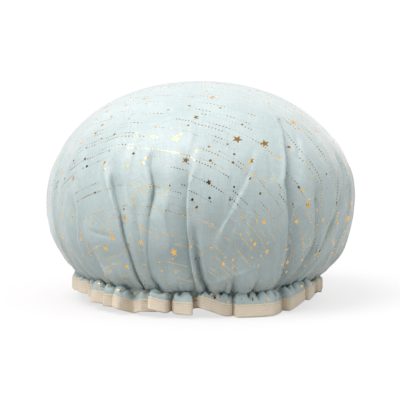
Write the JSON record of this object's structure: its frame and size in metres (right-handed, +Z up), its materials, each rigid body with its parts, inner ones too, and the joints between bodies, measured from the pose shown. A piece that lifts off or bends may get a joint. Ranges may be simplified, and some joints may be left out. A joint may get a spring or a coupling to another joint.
{
  "type": "shower cap",
  "caption": "Lined cloth shower cap: a full round crown gathered on a hidden elastic above a short pleated frill with a bound edge; it stretches over the hair to keep it dry.",
  "frame": {"origin": "on the surface that the hem stands on, below the middle of the crown", "axes": "+Z up through the crown, -Y towards the front as pictured, +X to the viewer's right"},
  "size_m": [0.2397, 0.24, 0.17],
  "materials": {
    "printed_cloth": "pale blue-green satin with a scattered gold foil print",
    "lining_film": "thin white waterproof film",
    "cream_tape": "cream ribbed tape",
    "white_elastic": "braided white elastic",
    "aqua_thread": "polyester sewing thread",
    "cream_thread": "polyester sewing thread"
  },
  "bodies": {
    "cap": {"outer_cloth": "printed_cloth", "waterproof_lining": "lining_film", "elastic_band": "white_elastic", "casing_tape": "cream_tape", "hem_binding": "cream_tape", "casing_upper_needle_thread": "aqua_thread", "casing_lower_needle_thread": "aqua_thread", "casing_upper_bobbin_thread": "cream_thread", "casing_lower_bobbin_thread": "cream_thread", "binding_needle_thread": "cream_thread", "binding_bobbin_thread": "cream_thread"},
    "hem_back": {"elastic_join_zigzag": "cream_thread", "casing_join_tack": "cream_thread", "binding_join_tack": "cream_thread"}
  },
  "joints": [
    {"name": "opening_stretch", "type": "slide", "parent": "cap", "child": "hem_back", "axis": [0, 1, 0], "range_m": [0, 0.08], "stiffness_N_per_m": 25, "deforming": ["outer_cloth", "waterproof_lining", "elastic_band", "casing_tape", "hem_binding", "casing_upper_needle_thread", "casing_lower_needle_thread", "casing_upper_bobbin_thread", "casing_lower_bobbin_thread", "binding_needle_thread", "binding_bobbin_thread"]}
  ]
}
